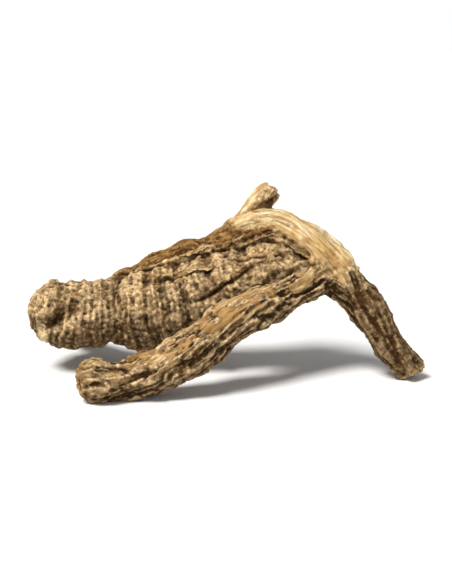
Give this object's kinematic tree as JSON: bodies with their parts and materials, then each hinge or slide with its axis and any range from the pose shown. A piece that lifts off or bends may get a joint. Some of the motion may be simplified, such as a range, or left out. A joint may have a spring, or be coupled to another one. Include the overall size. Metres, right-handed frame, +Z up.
{
  "type": "osha root",
  "caption": "Dried osha root: a thick ringed rhizome with a blunt knobbed end, an arched side root along its back, a front root, and broken root stubs.",
  "frame": {"origin": "middle of the root's bounding box in plan, at the level of the surface that it rests on", "axes": "+X along the rhizome from its blunt end to its torn end, +Y away from the front root, +Z up"},
  "size_m": [0.1068, 0.0646, 0.0507],
  "materials": {
    "dry_bark": "matt, rough dry bark"
  },
  "bodies": {
    "root": {"osha_root": "dry_bark"}
  },
  "joints": []
}
